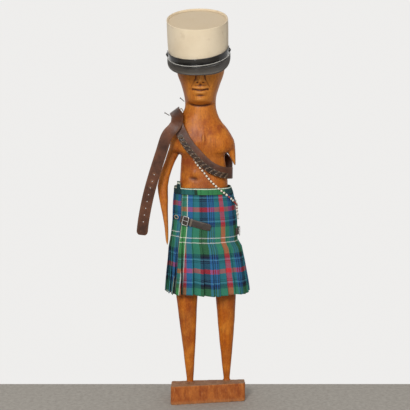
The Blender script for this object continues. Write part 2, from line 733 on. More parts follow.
def make_chin_strap(gloss, thread):
    """The glossy strap, the light cord under it and the studs with their little shanks."""
    out = KEPI_WALL + KEPI_BULGE + CLEAR + 0.0004
    base = VISOR_SEAT + CLEAR
    half_thick, half_wide = CHIN_STRAP_THICKNESS / 2, CHIN_STRAP_WIDTH / 2
    section = []
    for corner, start in (((1, 1), 0), ((-1, 1), 90), ((-1, -1), 180), ((1, -1), 270)):
        for step in range(4):
            turn = math.radians(start + 30 * step)
            away = half_thick + corner[0] * (half_thick - 0.0008) + math.cos(turn) * 0.0008
            up = half_wide + corner[1] * (half_wide - 0.0012) + math.sin(turn) * 0.0012
            section.append((away, up))
    rings, cord = [], []
    for i in range(91):
        angle = CHIN_STRAP_SPAN * (2 * i / 90 - 1)
        rise = base + CHIN_STRAP_END_RISE * abs(angle / CHIN_STRAP_SPAN) ** 3
        rings.append([kepi_point(0, angle, out + away, rise + along) for away, along in section])
        cord.append(kepi_point(0, angle, out + CHIN_STRAP_THICKNESS + 0.0003, rise + 0.0011))
    strap = loft("strap_band", rings, [gloss], sharp=50)
    twist = []
    for i in range(361):
        at = i / 4
        low = cord[min(int(at), 90)].lerp(cord[min(int(at) + 1, 90)], at - int(at))
        twist.append(low)
    sizes = [0.00095 + 0.00005 * math.sin(i * 1.9) for i in range(361)]
    light = tube("strap_cord", twist, sizes, [thread], sides=7)
    finish_piece(joined("kepi_gloss_strap", [strap, light]), "gloss_strap", "kepi_chin_strap")
    for side, name in ((-1, "kepi_button_right"), (1, "kepi_button_left")):
        angle = side * (CHIN_STRAP_SPAN - math.radians(4))
        height = base + CHIN_STRAP_END_RISE + half_wide
        inner = kepi_point(0, angle, 0, height)
        place = kepi_point(0, angle, out + CHIN_STRAP_THICKNESS, height)
        facing = (place - inner).to_track_quat("Z", "Y").to_matrix().to_4x4()
        outline = ((0.35, -0.0006), (0.9, 0), (1, 0.0004), (1, 0.0011), (0.93, 0.0016), (0.82, 0.0014))
        outline += ((0.74, 0.0017), (0.55, 0.0031), (0.3, 0.0040), (0.08, 0.0043))
        rings = []
        for share, along in outline:
            ring = [Vector((math.cos(t), math.sin(t), 0)) * STUD_RADIUS * share for t in turns_of(28)]
            ring = [spot + Vector((0, 0, along)) for spot in ring]
            rings.append([Matrix.Translation(place) @ facing @ spot for spot in ring])
        finish_piece(loft(f"{name}_stud", rings, [gloss]), "gloss_strap", name)


def kepi_materials():
    cloth = Shader("kepi cloth", roughness=0.88, Sheen_Weight=0.25, Sheen_Roughness=0.5)
    place = cloth.place()
    threads = []
    for way in "XZ":
        settings = {"wave_type": "BANDS", "bands_direction": way}
        threads.append(cloth.node("ShaderNodeTexWave", settings, Vector=place, Scale=420.0).outputs["Fac"])
    weave = cloth.sum_of("MULTIPLY", *threads)
    soil = cloth.noise(place, 14.0, 5.0, 0.6)
    stain = cloth.noise(place, 34.0, 3.0)
    colour = cloth.blend(cloth.spread(soil, 0.35, 0.7), (0.90, 0.76, 0.55), (0.82, 0.67, 0.46))
    colour = cloth.blend(cloth.spread(stain, 0.58, 0.72, 0.0, 0.5), colour, (0.62, 0.47, 0.29))
    face = cloth.node("ShaderNodeNewGeometry").outputs["True Normal"]
    upward = cloth.node("ShaderNodeSeparateXYZ", Vector=face).outputs[2]
    colour = cloth.blend(cloth.spread(upward, 0.8, 0.93, 0.0, 0.92), colour, (0.55, 0.42, 0.255))
    colour = cloth.blend(cloth.spread(weave, 0.0, 0.5, 0.16, 0.0), colour, (0.45, 0.35, 0.22))
    cloth.bumps((weave, 0.00022), (soil, 0.0009), (cloth.noise(place, 700.0, 2.0), 0.00012))
    piping = Shader("kepi piping", roughness=0.8)
    fine = piping.noise(piping.place(), 600.0, 3.0)
    piping.bumps((fine, 0.0002))
    piping.done(piping.blend(fine, (0.66, 0.53, 0.35), (0.78, 0.65, 0.45)))
    return cloth.done(colour), piping.material


LEATHER_GRAIN = 900.0
LEATHER_WEAR = 0.4


def leather_material(name, dark, light, roughness, worn, coat=0.0):
    """Leather: a pebbled grain, uneven dye, creases and rubbed edges."""
    m = Shader(name, Coat_Weight=coat, Coat_Roughness=0.12)
    place = m.place()
    pebble = m.cells(place, LEATHER_GRAIN)
    uneven = m.noise(place, 26.0, 5.0, 0.6)
    scuff = m.noise(m.place((90, 90, 160)), 1.0, 5.0, 0.7)
    colour = m.blend(m.spread(uneven, 0.34, 0.68), dark, light)
    colour = m.blend(m.spread(scuff, 0.60, 0.74, 0.0, LEATHER_WEAR), colour, worn)
    pointed = m.node("ShaderNodeNewGeometry").outputs["Pointiness"]
    colour = m.blend(m.spread(pointed, 0.515, 0.56, 0.0, LEATHER_WEAR), colour, worn)
    rough = m.spread(uneven, 0.3, 0.7, roughness - 0.08, roughness + 0.10)
    m.bumps((pebble, 0.00014), (uneven, 0.0006), (scuff, 0.00015))
    return m.done(colour, rough)


def thread_material(name, dark, light, roughness=0.7):
    m = Shader(name, roughness=roughness)
    place = m.place()
    twist = m.noise(place, 1400.0, 2.0)
    grey = m.noise(place, 60.0, 3.0)
    m.bumps((twist, 0.00015))
    return m.done(m.blend(m.spread(m.sum_of("ADD", twist, grey), 0.75, 1.25), dark, light))


# Straps, strings and what lies along them

REACH = 0.06


def through(stops, count, closed):
    """Evenly spaced places on a smooth curve through the stops, each with its outward way."""
    stops = [np.array(stop, float) for stop in stops]
    n = len(stops)
    fine = []
    for i in range(n if closed else n - 1):
        if closed:
            a, b, c, d = (stops[(i + k) % n] for k in (-1, 0, 1, 2))
        else:
            a, b, c, d = (stops[min(max(i + k, 0), n - 1)] for k in (-1, 0, 1, 2))
        for t in np.linspace(0, 1, 24, endpoint=False):
            square, cube = 2 * a - 5 * b + 4 * c - d, 3 * b - a - 3 * c + d
            fine.append(0.5 * (2 * b + (c - a) * t + square * t**2 + cube * t**3))
    fine.append(fine[0] if closed else stops[-1])
    fine = np.array(fine)
    far = np.concatenate([[0], np.cumsum(np.linalg.norm(np.diff(fine[:, :3], axis=0), axis=1))])
    at = np.linspace(0, far[-1], count + 1 if closed else count)[:count]
    places = np.stack([np.interp(at, far, fine[:, column]) for column in range(6)], axis=1)
    return [Vector(place[:3]) for place in places], [Vector(place[3:]).normalized() for place in places]


def frames_along(places, outward, closed):
    """For each place: the way along, the outward way squared to it, and the way across."""
    frames = []
    count = len(places)
    for i in range(count):
        before = places[i - 1] if closed or i else places[0]
        after = places[(i + 1) % count] if closed or i < count - 1 else places[-1]
        along = (after - before).normalized()
        out = (outward[i] - along * outward[i].dot(along)).normalized()
        frames.append((along, out, along.cross(out)))
    return frames


def lifts_over(places, frames, half_width, carriers, closed, cling, rounds=400):
    """How far each place rises along its outward way to clear what carries it, pulled taut."""
    needed = []
    count = len(places)
    for i, (place, (_, out, across)) in enumerate(zip(places, frames)):
        before = places[i - 1] if closed or i else place
        after = places[(i + 1) % count] if closed or i < count - 1 else place
        most = -REACH
        for start in [place] + [place.lerp(other, share) for other in (before, after) for share in (0.5, 1)]:
            for step in range(-7, 8):
                above = start + across * (half_width * step / 7) + out * REACH
                for tree, gap in carriers:
                    hit = tree.ray_cast(above, -out, 2 * REACH)
                    if hit[0] is not None:
                        most = max(most, REACH - hit[3] + out.dot(start - place) + gap)
        needed.append(most if cling else max(most, 0))
    lifts = list(needed)
    for _ in range(rounds):
        for i in range(count):
            if closed or 0 < i < count - 1:
                lifts[i] = max(needed[i], (lifts[i - 1] + lifts[(i + 1) % count]) / 2)
    return lifts


def metres(stops):
    return [tuple(value * UNIT for value in stop[:3]) + tuple(stop[3:]) for stop in stops]


class Run:
    """A strap's route: where its underside lies, and the ways along, out and across."""

    def __init__(self, stops, count, half_width, carriers, closed=False, cling=False, rounds=400):
        places, outward = through(metres(stops), count, closed)
        frames = frames_along(places, outward, closed)
        lifts = lifts_over(places, frames, half_width, carriers, closed, cling, rounds)
        self.closed = closed
        self.places = [place + way[1] * lift for place, way, lift in zip(places, frames, lifts)]
        self.frames = frames_along(self.places, [way[1] for way in frames], closed)
        steps = [(b - a).length for a, b in zip(self.places, self.places[1:])]
        if closed:
            steps.append((self.places[0] - self.places[-1]).length)
        self.far = np.concatenate([[0], np.cumsum(steps)])

    def at(self, distance):
        """Place and ways at this distance along the run."""
        count = len(self.places)
        if self.closed:
            distance %= self.far[-1]
        distance = min(max(distance, 0), self.far[-1] - 1e-9)
        i = int(np.searchsorted(self.far, distance, side="right")) - 1
        share = (distance - self.far[i]) / (self.far[i + 1] - self.far[i])
        j = (i + 1) % count
        place = self.places[i].lerp(self.places[j], share)
        along, out, across = (a.lerp(b, share).normalized() for a, b in zip(self.frames[i], self.frames[j]))
        return place, along, out, across

    def spot(self, distance, side, up):
        place, _, out, across = self.at(distance)
        return place + across * side + out * up


def strap_section(width, thickness, edge):
    """A strap's section with rounded edges: across and up, from its underside."""
    points = []
    half = width / 2
    for side in (1, -1):
        for step in range(7):
            turn = math.pi * (step / 6 - 0.5)
            x = side * (half - edge + math.cos(turn) * edge)
            y = thickness / 2 + side * math.sin(turn) * thickness / 2
            points.append((x, y))
        if side == 1:
            points += [(half * (1 - 0.5 * step), thickness) for step in (1, 2, 3)]
        else:
            points += [(-half * (1 - 0.5 * step), 0) for step in (1, 2, 3)]
    return points


STRAP_EDGE = 0.0008
STRAP_STEP = 0.0030


def strap_piece(name, run, width, thickness, material, round_end=0.0, groove=0.0):
    """A strap along a run. Its far end narrows over round_end, and a groove runs inside each edge."""
    end = run.far[-1]
    count = max(int(end / STRAP_STEP), 4)
    section = strap_section(width, thickness, STRAP_EDGE)
    rings = []
    stops = [end * i / (count if run.closed else count - 1) for i in range(count)]
    if round_end:
        stops = [s for s in stops if s < end - round_end]
        stops += [end - round_end * (1 - math.sin(math.pi / 2 * i / 8)) for i in range(9)]
    for distance in stops:
        share = 1.0
        if round_end and distance > end - round_end:
            inside = (distance - (end - round_end)) / round_end
            share = 1 - 0.42 * inside**3
        place, _, out, across = run.at(distance)
        ring = []
        for x, y in section:
            sink = groove * bump(abs(x), width / 2 - 0.0026, 0.0006) if y > thickness / 2 else 0
            ring.append(place + across * (x * share) + out * (y - sink))
        rings.append(ring)
    return loft(name, rings, [material], closed=run.closed, sharp=55)


def stitches(run, side, pitch, length, radius, height, material, start, end):
    """A row of separate thread stitches along a run."""
    made = []
    count = int((end - start) / pitch)
    for i in range(count):
        middle = start + pitch * (i + 0.5)
        path = []
        for step in range(6):
            t = step / 5 - 0.5
            lift = height - radius * 2.2 * (2 * t) ** 4
            path.append(run.spot(middle + t * length, side, lift))
        _, _, out, _ = run.at(middle)
        made.append(tube("stitch", path, radius, [material], sides=6, ups=[out] * 6))
    return made


BEAD_STOPS = (
    (-68, 16, 792, -0.7, 0.4, 0.6),
    (-73, -8, 786, -0.8, -0.1, 0.6),
    (-72, -34, 768, -0.4, -0.8, 0.4),
    (-66, -46, 742, -0.1, -1, 0.1),
    (-56, -50, 712, 0, -1, 0),
    (-44, -50, 684, 0, -1, 0),
    (-31, -50, 656, 0, -1, 0),
    (-14, -52, 635, 0, -1, 0),
    (2, -52, 614, 0, -1, 0),
    (15, -52, 600, 0.1, -1, 0),
    (27, -52, 589, 0.15, -1, 0),
    (48, -46, 571, 0.4, -0.9, 0),
    (60, -36, 559, 0.75, -0.65, 0),
    (73, -14, 543, 1, -0.15, 0),
    (77, 6, 536, 1, 0.1, 0),
    (73, 26, 546, 0.9, 0.45, 0),
    (54, 44, 580, 0.5, 0.86, 0),
    (30, 50, 622, 0.2, 1, 0),
    (-2, 50, 664, 0, 1, 0),
    (-34, 48, 718, -0.1, 1, 0.1),
    (-58, 36, 770, -0.5, 0.75, 0.4),
)
BEAD_RADIUS = 0.0034
BEAD_PITCH = 0.0092
THREAD_RADIUS = 0.0005
HIDDEN_BEADS_FROM = 0.735


def bead(rings, columns, place, along, out, radius, length):
    """Points and faces of one bead: a barrel with a dimple where the thread goes in."""
    across = along.cross(out)
    points = []
    for row in range(rings):
        turn = math.pi * (row + 0.5) / rings
        r = radius * math.sin(turn) ** 0.75
        h = -length * math.cos(turn)
        for t in turns_of(columns):
            points.append(place + along * h + (out * math.cos(t) + across * math.sin(t)) * r)
    faces = grid_faces(rings, columns)
    faces.append(tuple(range(columns))[::-1])
    faces.append(tuple(range((rings - 1) * columns, rings * columns)))
    return points, faces


def make_beads(figure, kilt, shell, red, amber, thread):
    """The string of beads, each one separate on its thread, with the bunch at the hip."""
    support = surface_of(figure, kilt)
    run = Run(BEAD_STOPS, 200, BEAD_RADIUS * 0.6, [(support, CLEAR)], closed=True, cling=True)
    count = round(run.far[-1] / BEAD_PITCH)
    pitch = run.far[-1] / count
    rng = np.random.default_rng(7)
    points, faces, slots = [], [], []

    def add(place, along, out, radius, length, slot):
        more, shapes = bead(7, 10, place, along, out, radius, length)
        first = len(points)
        points.extend(more)
        faces.extend(tuple(first + index for index in face) for face in shapes)
        slots.extend([slot] * len(shapes))

    for turn, height, slot in HIP_BEADS:
        centre, spot = kilt_radius(math.radians(turn), height)
        size = BEAD_RADIUS * rng.uniform(0.72, 0.92)
        place = centre + spot + spot.normalized() * (size + CLEAR)
        hang = Vector((0.15 * rng.uniform(-1, 1), 0.3 * rng.uniform(-1, 1), -1)).normalized()
        add(place, hang, spot.normalized(), size, size, slot)
    thread_path = []
    for i in range(count):
        distance = pitch * (i + 0.5)
        place, along, out, _ = run.at(distance)
        hidden = place.z > HIDDEN_BEADS_FROM
        size = BEAD_RADIUS * rng.uniform(0.84, 1.0) * (0.5 if hidden else 1)
        centre = place + out * (BEAD_RADIUS * 0.96 + CLEAR * 0.5)
        near = [math.hypot(centre.x - x * UNIT, centre.z - z * UNIT) < RED_REACH for x, z in RED_SPOTS]
        is_red = out.y < 0 and any(near)
        wide = size * (0.85 if is_red else 1)
        add(centre, along, out, wide, size * rng.uniform(1.0, 1.12), 1 if is_red else 0)
        between, ahead, up, _ = run.at(distance + pitch / 2)
        small = 0.0013 * rng.uniform(0.8, 1.1)
        middle = between + up * (BEAD_RADIUS * 0.96 + CLEAR * 0.5)
        add(middle, ahead, up, small, small, 2)
        thread_path.append(centre)
        centre = middle
        thread_path.append(centre)
    string = mesh_piece("bead_run", points, faces, [shell, red, amber], sharp=None, slots=slots)
    face_out(string)
    line = tube("bead_thread", thread_path, THREAD_RADIUS, [thread], sides=5, closed=True)
    return finish_piece(joined("beads_on_thread", [string, line]), "beads", "bead_string")


# Where red beads lie, across and up in UNITs, and how near a bead has to be
RED_SPOTS = ((54, 563), (69, 546), (74, 540))
RED_REACH = 0.0046
# The bunch that hangs at the hip: degrees round the kilt, height in UNITs, 1 for red
HIP_BEADS = (
    (80, 534, 0), (86, 530, 1), (79, 526, 0), (87, 523, 0), (82, 519, 0),
    (77, 516, 0), (87, 514, 0), (82, 510, 0), (84, 503, 0),
)
BELT_STOPS = (
    (-75, 6, 775, -0.8, 0, 0.6),
    (-77, -22, 768, -0.65, -0.55, 0.45),
    (-77, -42, 756, -0.25, -0.95, 0.15),
    (-67, -48, 731, -0.1, -1, 0.05),
    (-51, -52, 704, 0, -1, 0),
    (-31, -54, 681, 0, -1, 0),
    (-11, -54, 660, 0, -1, 0),
    (8, -54, 645, 0.05, -1, 0),
    (25, -51, 636, 0.2, -0.98, 0),
    (42, -41, 630, 0.5, -0.85, 0),
    (56, -22, 627, 0.9, -0.4, 0),
    (57, 2, 626, 1, 0.05, 0),
    (55, 22, 633, 0.92, 0.4, 0),
    (48, 40, 650, 0.5, 0.86, 0),
    (27, 50, 674, 0.2, 1, 0),
    (0, 52, 702, 0, 1, 0),
    (-40, 50, 737, -0.1, 1, 0.1),
    (-70, 34, 763, -0.45, 0.8, 0.35),
)
HANGING_STOPS = (
    (-72, 28, 763, -0.6, 0.6, 0.5),
    (-74, 2, 771, -0.6, -0.1, 0.8),
    (-76, -28, 764, -0.4, -0.8, 0.45),
    (-88, -46, 749, -0.1, -0.98, 0.15),
    (-107.5, -47, 729.5, -0.05, -1, 0),
    (-123, -47, 686.7, 0, -1, 0),
    (-142.4, -47, 626.3, 0, -1, 0),
    (-158.3, -46, 569.7, 0, -1, 0),
    (-170.8, -45, 508.6, 0, -1, 0),
    (-176.5, -45, 464, 0, -1, 0),
)
BELT_WIDTH = 0.030
BELT_THICKNESS = 0.0030
BELT_HOLE = 0.0024
BELT_HOLE_PITCH = 0.0187
BELT_HOLE_COUNT = 8
BELT_HOLE_FROM_END = 0.036
BEAD_LIFT = 0.0016
LACING_FROM, LACING_TO = 0.165, 0.455
LACING_WIDTH = 0.0140
LACING_PITCH = 0.0128


def make_belt(figure, beads, leather, lacing, thread):
    """The leather belt: its loop, its hanging run with the punched holes, and the laced strip."""
    beads_tree = surface_of(beads)
    figure_tree = surface_of(figure)
    loop = Run(BELT_STOPS, 100, BELT_WIDTH / 2, [(figure_tree, CLEAR), (beads_tree, BEAD_LIFT)], closed=True)
    band = strap_piece("belt_loop", loop, BELT_WIDTH, BELT_THICKNESS, leather, groove=0.0004)
    over = [(figure_tree, CLEAR), (beads_tree, BEAD_LIFT), (surface_of(band), CLEAR)]
    hanging = Run(HANGING_STOPS, 60, BELT_WIDTH / 2, over)
    end = hanging.far[-1]
    free = strap_piece(
        "belt_hanging", hanging, BELT_WIDTH, BELT_THICKNESS, leather, round_end=0.012, groove=0.0004
    )
    cutters = []
    for hole in range(BELT_HOLE_COUNT):
        place, along, out, across = hanging.at(end - BELT_HOLE_FROM_END - BELT_HOLE_PITCH * hole)
        rings = []
        for up, size in ((-0.006, 1), (BELT_THICKNESS * 0.8, 1), (BELT_THICKNESS * 1.05, 1.35), (0.01, 1.35)):
            radius = BELT_HOLE / 2 * size
            round_hole = [along * math.cos(t) + across * math.sin(t) for t in turns_of(20)]
            rings.append([place + out * up + away * radius for away in round_hole])
        cutters.append(loft("hole", rings, [leather]))
    cutter = joined("holes", cutters)
    cut = free.modifiers.new("holes", "BOOLEAN")
    cut.object = cutter
    cut.operation = "DIFFERENCE"
    bake_modifiers(free)
    bpy.data.objects.remove(cutter)
    belt = joined("leather_belt", [band, free])
    belt.data.shade_smooth()
    belt.data.set_sharp_from_angle(angle=math.radians(50))
    finish_piece(belt, "belt_leather", "belt")
    make_lacing(loop, lacing, thread)
    return belt, loop, hanging


def make_lacing(loop, lacing, thread):
    """The laced strip on the chest run: a thin band, slanted dark loops and two rows of light stitches."""
    first, last = LACING_FROM * loop.far[-1], LACING_TO * loop.far[-1]
    low = -1 if loop.spot(first, 1, 0).z > loop.spot(first, -1, 0).z else 1
    middle = low * (BELT_WIDTH / 2 - LACING_WIDTH / 2 - 0.0010)
    top = BELT_THICKNESS + CLEAR
    made = []
    rings = []
    section = strap_section(LACING_WIDTH, 0.0012, 0.0004)
    steps = int((last - first) / 0.003)
    for i in range(steps + 1):
        place, _, out, across = loop.at(first + (last - first) * i / steps)
        rings.append([place + across * (middle + x) + out * (top + y) for x, y in section])
    made.append(loft("lacing_band", rings, [lacing], sharp=50))
    count = int((last - first) / LACING_PITCH)
    for i in range(count):
        centre = first + (i + 0.5) * (last - first) / count
        path, sizes = [], []
        for step in range(9):
            t = step / 8 - 0.5
            side = middle - low * t * (LACING_WIDTH - 0.0026)
            lift = top + 0.0010 + 0.0016 * math.cos(math.pi * t) ** 0.6
            path.append(loop.spot(centre + t * LACING_PITCH * 0.62, side, lift))
            sizes.append(0.0007 + 0.0021 * math.cos(math.pi * t) ** 0.5)
        _, _, out, _ = loop.at(centre)
        made.append(tube("lace", path, sizes, [lacing], sides=8, ups=[out] * 9, flat=0.42))
    edge = LACING_WIDTH / 2 - 0.0011
    rows = ((middle + low * edge, 0.0), (middle - low * edge, LACING_PITCH / 2))
    for side, shift in rows:
        made += stitches(
            loop, side, LACING_PITCH, 0.0050, 0.00042, top + 0.0020, thread, first + shift, last
        )
    finish_piece(joined("belt_laced_strip", made), "belt_leather", "belt_lacing")


# The kilt, in UNITs: height, left edge, right edge, depth in front and behind, all to the cloth's outer face
KILT_FORM = (
    (290, -119.5, 114.5, 78, 80),
    (318, -117.5, 111.3, 76, 78),
    (389, -111, 100.5, 72, 74.5),
    (427, -108, 93, 69.5, 72.5),
    (446, -104.5, 81, 68, 71),
    (497, -97.5, 78, 65, 68),
    (548, -95, 72, 62, 62),
    (575, -92.5, 67.2, 60, 58),
    (592, -91.7, 61, 58.5, 56),
)
KILT_WAIST = 590
KILT_LENGTH = 287
KILT_FULLNESS = 2.12
KILT_ROWS = 76
KILT_CLOTH = 0.0011
PLEAT_DEPTH = 0.0150
TAB_ANGLE = math.radians(-59)
TAB_WIDTH = 0.13
TAB_RISE = 0.016
SETT = 0.1645


def kilt_radius(angle, height):
    """The kilt's outer face at this angle and height, without its pleats."""
    table = np.asarray(KILT_FORM, float)
    left, right, front, back = (float(np.interp(height, table[:, 0], table[:, i])) for i in range(1, 5))
    depth = front if math.cos(angle) > 0 else back
    spot = oval((right - left) / 2 * UNIT, depth * UNIT, angle, KILT_FULLNESS)
    return Vector(((left + right) / 2 * UNIT, 0, height * UNIT)), spot


# Where the folded edges of the pleats stand round the kilt, in degrees from the front
PLEAT_EDGES = (
    -180, -165, -150, -136, -123, -111, -100, -90.5, -81, -72, -63, -53, -38.9, -19, -3.7,
    9, 17.1, 28, 40, 53, 66, 79, 92, 106, 121, 136, 151, 166, 180,
)
# One knife pleat: share of its width along the kilt and share of its depth, from under one fold to the next
PLEAT = (
    (0.00, 0.50),
    (0.15, 0.40),
    (0.35, 0.28),
    (0.55, 0.19),
    (0.75, 0.11),
    (0.92, 0.03),
    (1.00, 0.00),
    (1.03, 0.05),
    (1.00, 0.12),
    (0.85, 0.26),
    (0.70, 0.42),
    (0.62, 0.56),
    (0.60, 0.70),
    (0.66, 0.80),
    (0.80, 0.70),
)
PLEAT_PEAK = 6


def make_kilt(tartan):
    """The pleated cloth: knife pleats pressed flat at the hips and open at the hem."""
    rng = np.random.default_rng(21)
    pleats = len(PLEAT_EDGES) - 1
    open_more = rng.uniform(0.75, 1.2, pleats)
    sway = rng.uniform(-0.5, 0.5, pleats)
    points, uvs, folds = [], [], []
    columns = pleats * len(PLEAT)
    for row in range(KILT_ROWS):
        down = row / (KILT_ROWS - 1)
        opened = float(smooth_step(down, 0.30, 0.98))
        height = KILT_WAIST - down * KILT_LENGTH
        for pleat in range(pleats):
            low, high = PLEAT_EDGES[pleat], PLEAT_EDGES[pleat + 1]
            room = min((high - low) / 12, 1.15)
            full = PLEAT_DEPTH * (0.07 + 0.93 * opened) * open_more[pleat] * room
            for step, (share, depth) in enumerate(PLEAT):
                if step > PLEAT_PEAK:
                    share = 0.99 + (share - 0.99) * (0.10 + 0.90 * opened)
                wander = 0.08 * sway[pleat] * opened * math.sin(down * 5 + pleat)
                turn = low + (high - low) * (share + wander * math.sin(math.pi * min(share, 1)))
                angle = math.radians(turn)
                centre, spot = kilt_radius(angle, height)
                outward = spot.normalized()
                ripple = 0.0011 * opened * math.sin(turn * 0.31 + down * 4)
                ripple += 0.0007 * math.sin(down * 9 + turn * 0.13)
                place = centre + spot - outward * (full * depth + 0.0014 - ripple)
                beside = abs(math.remainder(angle - TAB_ANGLE, 2 * math.pi))
                lift = TAB_RISE * float(smooth_step(TAB_WIDTH - beside, 0.0, 0.03))
                place.z += lift * max(1 - down / 0.06, 0)
                place.z -= 0.0018 * opened * math.sin(turn * 0.11 + 0.6) - 0.0015 * depth * opened
                points.append(place)
                uvs.append((turn / 360 + 0.5, down))
                folds.append(depth * (1.0 if step > PLEAT_PEAK else 0.35) * (0.25 + 0.75 * opened))
    faces = grid_faces(KILT_ROWS, columns)
    piece = mesh_piece("kilt_cloth", points, faces, [tartan], sharp=None, uvs=uvs)
    mesh = piece.data
    mesh.attributes.new("fold", "FLOAT", "POINT").data.foreach_set("value", folds)
    layer = mesh.uv_layers[0].data
    for polygon in mesh.polygons:
        across = [layer[loop].uv[0] for loop in polygon.loop_indices]
        if max(across) - min(across) > 0.5:
            for loop in polygon.loop_indices:
                if layer[loop].uv[0] < 0.5:
                    layer[loop].uv[0] += 1
    face_out(piece)
    thick = piece.modifiers.new("cloth", "SOLIDIFY")
    thick.thickness = KILT_CLOTH
    thick.offset = -1
    bake_modifiers(piece)
    piece.data.shade_smooth()
    finish_piece(piece, "tartan", "kilt")
    return piece


RIGHT_STRAP_STOPS = (
    (-74, -50, 507, -0.3, -0.95, 0),
    (-52, -54, 501.5, -0.1, -1, 0),
    (-28, -55, 495, 0, -1, 0),
    (-4, -55, 488.5, 0, -1, 0),
    (6, -55, 486, 0, -1, 0),
)
LEFT_STRAP_STOPS = (
    (66, -24, 470, 0.9, -0.4, 0),
    (70, -4, 469, 1, 0, 0),
    (66, 20, 468, 0.9, 0.4, 0),
    (52, 42, 467, 0.6, 0.8, 0),
)
STRAP_WIDTH = 0.019
STRAP_THICKNESS = 0.0022
BUCKLE_LENGTH = 0.016
BUCKLE_WIRE = 0.00125


def make_hip_straps(kilt, leather, keeper_leather, steel, thread):
    """The two hip straps, each through a wire buckle with its prong, and a keeper loop."""
    tree = surface_of(kilt)
    for side, stops, at in (("right", RIGHT_STRAP_STOPS, 0.20), ("left", LEFT_STRAP_STOPS, 0.25)):
        run = Run(stops, 40, STRAP_WIDTH / 2, [(tree, CLEAR * 2)], cling=True)
        strap = strap_piece(
            "strap", run, STRAP_WIDTH, STRAP_THICKNESS, leather, round_end=0.009, groove=0.0003
        )
        middle = run.far[-1] * at
        parts = [strap]
        rings = []
        for step in range(5):
            place, _, out, across = run.at(middle + 0.0135 + 0.0045 * step / 4)
            section = strap_section(STRAP_WIDTH + 0.0022, 0.0012, 0.0005)
            rings.append([place + across * x + out * (STRAP_THICKNESS + CLEAR + y) for x, y in section])
        parts.append(loft("keeper", rings, [keeper_leather], sharp=50))
        for edge in (-1, 1):
            parts += stitches(
                run, edge * (STRAP_WIDTH / 2 - 0.0022), 0.0042, 0.0024, 0.0003,
                STRAP_THICKNESS, keeper_leather, middle + 0.020, run.far[-1] - 0.010,
            )
        if side == "right":
            loop = []
            for turn in turns_of(20):
                x, z = -85 + 5.2 * math.sin(turn), 510.5 + 4.6 * math.cos(turn)
                place, _, _ = tree.ray_cast(Vector((x * UNIT, -0.2, z * UNIT)), Vector((0, 1, 0)))[:3]
                loop.append((place or Vector((x * UNIT, -0.03, z * UNIT))) + Vector((0, -0.0016, 0)))
            parts.append(tube("hanging_loop", loop, 0.0009, [thread], sides=8, closed=True))
        finish_piece(joined(f"kilt_hip_strap_{side}", parts), "strap_leather", f"kilt_strap_{side}")
        place, along, out, across = run.at(middle)
        place = place + out * (STRAP_THICKNESS + BUCKLE_WIRE + CLEAR)
        long, wide = BUCKLE_LENGTH / 2, STRAP_WIDTH / 2 + BUCKLE_WIRE * 1.6
        corner = 0.0026
        frame_path = []
        for sx, sy, first in ((1, 1, 0), (-1, 1, 1), (-1, -1, 2), (1, -1, 3)):
            for step in range(6):
                turn = math.pi / 2 * (first + step / 5)
                x = sx * (long - corner) + corner * math.cos(turn)
                y = sy * (wide - corner) + corner * math.sin(turn)
                frame_path.append(place + along * x + across * y)
        wires = [tube("wire", frame_path, BUCKLE_WIRE, [steel], sides=10, closed=True)]
        prong = [
            place + along * (long * t) + out * (0.0009 * math.sin(math.pi * (t + 1) / 2))
            for t in (-1, -0.5, 0, 0.5, 1.06)
        ]
        wires.append(tube("prong", prong, BUCKLE_WIRE * 0.75, [steel], sides=8))
        ring = [
            place - along * long + (out * math.cos(t) + along * math.sin(t)) * BUCKLE_WIRE * 1.6
            for t in turns_of(12)
        ]
        wires.append(tube("prong_loop", ring, BUCKLE_WIRE * 0.7, [steel], sides=8, closed=True))
        finish_piece(joined(f"wire_buckle_{side}", wires), "steel", f"kilt_buckle_{side}")


NAIL_WAYS = {"nail_neck": (-0.75, 0, 0.66), "nail_shoulder": (-0.86, 0, 0.5)}


def make_nails(steel):
    """The two wire nails, round, with a slightly domed head."""
    for name, way in NAIL_WAYS.items():
        way = Vector(way).normalized()
        spots = [Vector(spot) for spot in vertex_array(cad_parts[name].data)]
        far = [spot.dot(way) for spot in spots]
        low, high = min(far), max(far)
        base = sum((s for s, f in zip(spots, far) if f < low + 1e-4), Vector())
        base /= sum(f < low + 1e-4 for f in far)
        radius = max((spot - base - way * (spot - base).dot(way)).length for spot in spots)
        shank = max((s - base).length for s, f in zip(spots, far) if f < low + 1e-4)
        length = high - low
        shape = (
            (0, shank * 0.9), (0.1, shank), (0.7, shank), (0.885, shank), (0.90, shank * 1.3),
            (0.915, radius * 0.96), (0.95, radius * 0.99), (0.985, radius * 0.9), (1.0, radius * 0.55),
        )
        path = [base + way * length * share for share, _ in shape]
        nail = tube(f"wire_{name}", path, [size for _, size in shape], [steel], sides=20)
        finish_piece(nail, "steel", name)


def steel_material(name, dark, light):
    """Dull wire: brushed along its length, with dark spots of tarnish."""
    m = Shader(name, Metallic=0.8)
    place = m.place()
    brushed = m.noise(m.place((900, 900, 160)), 1.0, 3.0)
    spots = m.noise(place, 420.0, 4.0, 0.65)
    colour = m.blend(m.spread(brushed, 0.35, 0.65), dark, light)
    colour = m.blend(m.spread(spots, 0.55, 0.68, 0.0, 0.8), colour, (0.11, 0.08, 0.06))
    m.bumps((brushed, 0.00006), (spots, 0.00010))
    return m.done(colour, m.spread(spots, 0.4, 0.7, 0.28, 0.6))


# The tartan's colours
GREEN = (0.052, 0.265, 0.080)
DARK_GREEN = (0.012, 0.056, 0.028)
TEAL = (0.018, 0.190, 0.185)
BLUE = (0.022, 0.130, 0.400)
SEA_BLUE = (0.022, 0.150, 0.250)
NAVY = (0.008, 0.011, 0.032)
RED = (0.640, 0.034, 0.048)
WHITE = (0.960, 0.980, 0.820)
LIGHT_BLUE = (0.140, 0.380, 0.520)
